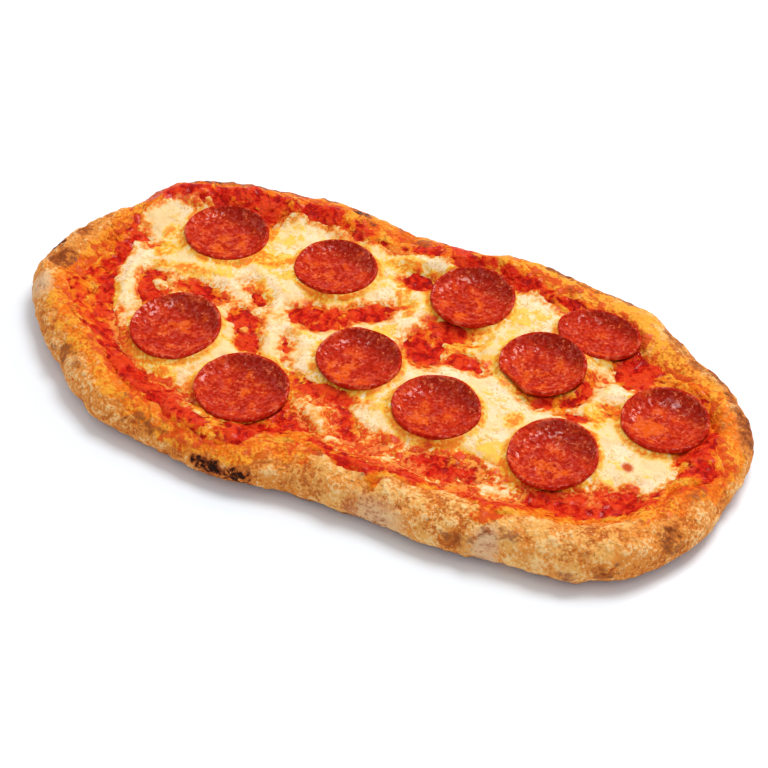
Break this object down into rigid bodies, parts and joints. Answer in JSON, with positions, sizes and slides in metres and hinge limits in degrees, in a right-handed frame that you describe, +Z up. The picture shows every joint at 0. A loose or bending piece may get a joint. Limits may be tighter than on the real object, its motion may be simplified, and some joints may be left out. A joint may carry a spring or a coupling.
{
  "type": "pepperoni pinsa",
  "caption": "Whole baked oval flatbread with a puffed rim, tomato sauce, melted mozzarella and cupped pepperoni slices.",
  "frame": {"origin": "on the surface that the dough rests on, under the middle of the crust", "axes": "+X along the length, +Y across it, +Z up"},
  "size_m": [0.3176, 0.1703, 0.023],
  "materials": {
    "crust": "matte baked crust, oil stained on the rim",
    "sauce": "wet tomato pulp",
    "cheese": "melted, soft sheen",
    "pepperoni": "cured sausage, oily sheen"
  },
  "bodies": {
    "root": {"dough": "crust", "tomato_sauce": "sauce", "mozzarella": "cheese", "pepperoni_01": "pepperoni", "pepperoni_02": "pepperoni", "pepperoni_03": "pepperoni", "pepperoni_04": "pepperoni", "pepperoni_05": "pepperoni", "pepperoni_06": "pepperoni", "pepperoni_07": "pepperoni", "pepperoni_08": "pepperoni", "pepperoni_09": "pepperoni", "pepperoni_10": "pepperoni", "pepperoni_11": "pepperoni"}
  },
  "joints": []
}
